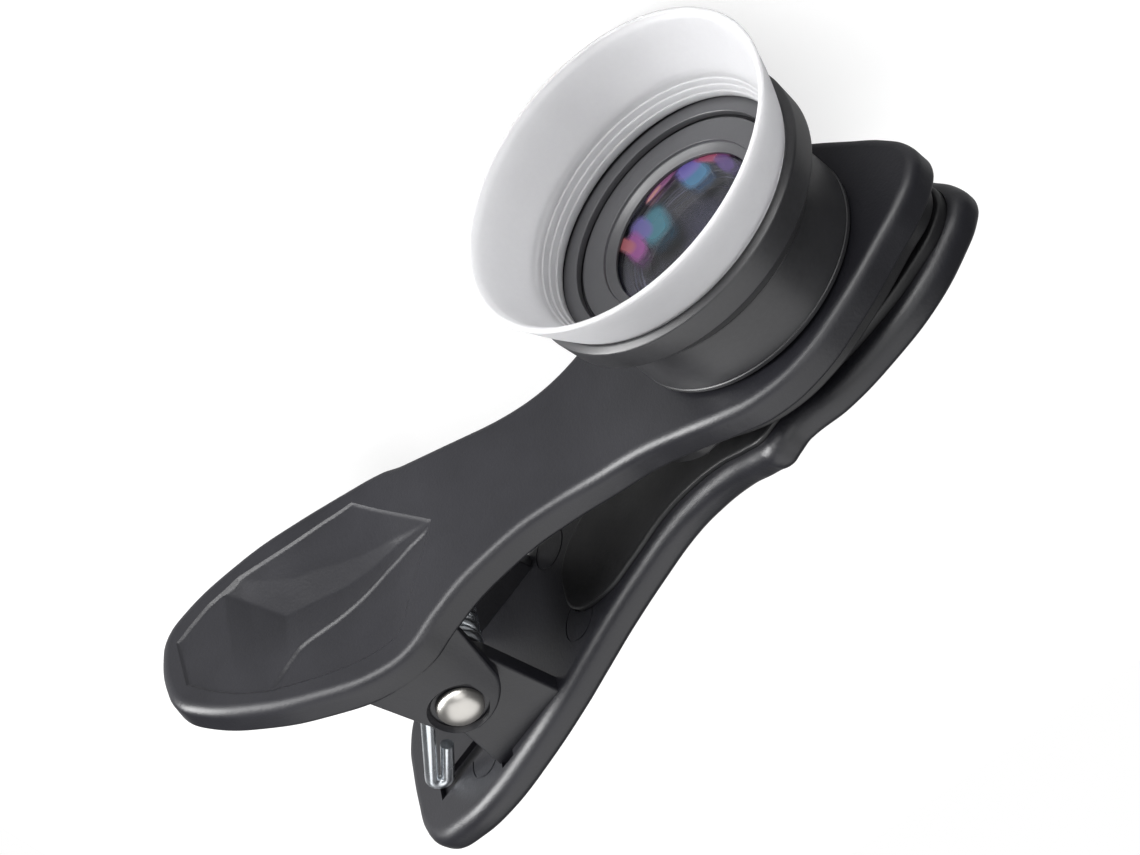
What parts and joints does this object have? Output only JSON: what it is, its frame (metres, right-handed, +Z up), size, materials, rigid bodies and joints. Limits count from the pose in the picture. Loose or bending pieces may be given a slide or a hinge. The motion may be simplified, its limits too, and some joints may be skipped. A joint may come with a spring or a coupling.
{
  "type": "clip-on phone lens",
  "caption": "Close-up lens with a flared clear hood on a sprung clip: two moulded arms with soft jaw pads turn on a rivet.",
  "frame": {"origin": "middle of the lowest face of the box round the whole clip, as it lies on its side", "axes": "+X along the arms towards the jaw, +Y up the lens axis towards the hood, +Z up, across the arms"},
  "size_m": [0.0754, 0.0416, 0.028],
  "materials": {
    "arm_plastic": "moulded, fine matt grain",
    "pad_rubber": "matt, soft",
    "lens_black": "black anodised, satin",
    "retainer_black": "black anodised, fine turned lines",
    "lens_glass": "polished, blue and violet coating",
    "hood_frosted": "clear with a frosted skirt",
    "rivet_chrome": "polished",
    "spring_zinc": "bright zinc"
  },
  "bodies": {
    "lower_clip": {"lower_arm": "arm_plastic", "lower_jaw_pad": "pad_rubber", "hinge_rivet": "rivet_chrome", "torsion_spring": "spring_zinc"},
    "upper_clip": {"upper_arm": "arm_plastic", "upper_jaw_pad": "pad_rubber"},
    "barrel_group": {"lens_barrel": "lens_black", "third_lens": "lens_glass", "barrel_ring": "lens_black", "rear_lens": "lens_glass", "rear_ring": "lens_black"},
    "cell_group": {"front_cell": "lens_black", "front_face_ring": "lens_black", "front_retainer": "retainer_black", "front_lens": "lens_glass", "spacer_ring": "lens_black", "second_lens": "lens_glass"},
    "hood_group": {"hood": "hood_frosted"}
  },
  "joints": [
    {"name": "jaw_hinge", "type": "hinge", "parent": "lower_clip", "child": "upper_clip", "pos_m": [-0.01788, -0.00484, 0.014], "axis": [0, 0, 1], "range_deg": [0, 60], "stiffness_Nm_per_rad": 0.35, "springref_deg": -34.38, "deforming": ["torsion_spring"]},
    {"name": "barrel_screw", "type": "hinge", "parent": "upper_clip", "child": "barrel_group", "pos_m": [0.02107, 0.00506, 0.014], "axis": [0, 1, 0], "range_deg": [0, 1080]},
    {"name": "cell_screw", "type": "hinge", "parent": "barrel_group", "child": "cell_group", "pos_m": [0.02107, 0.01106, 0.014], "axis": [0, 1, 0], "range_deg": [0, 1080]},
    {"name": "hood_pull", "type": "slide", "parent": "cell_group", "child": "hood_group", "axis": [0, 1, 0], "range_m": [0, 0.006]}
  ]
}
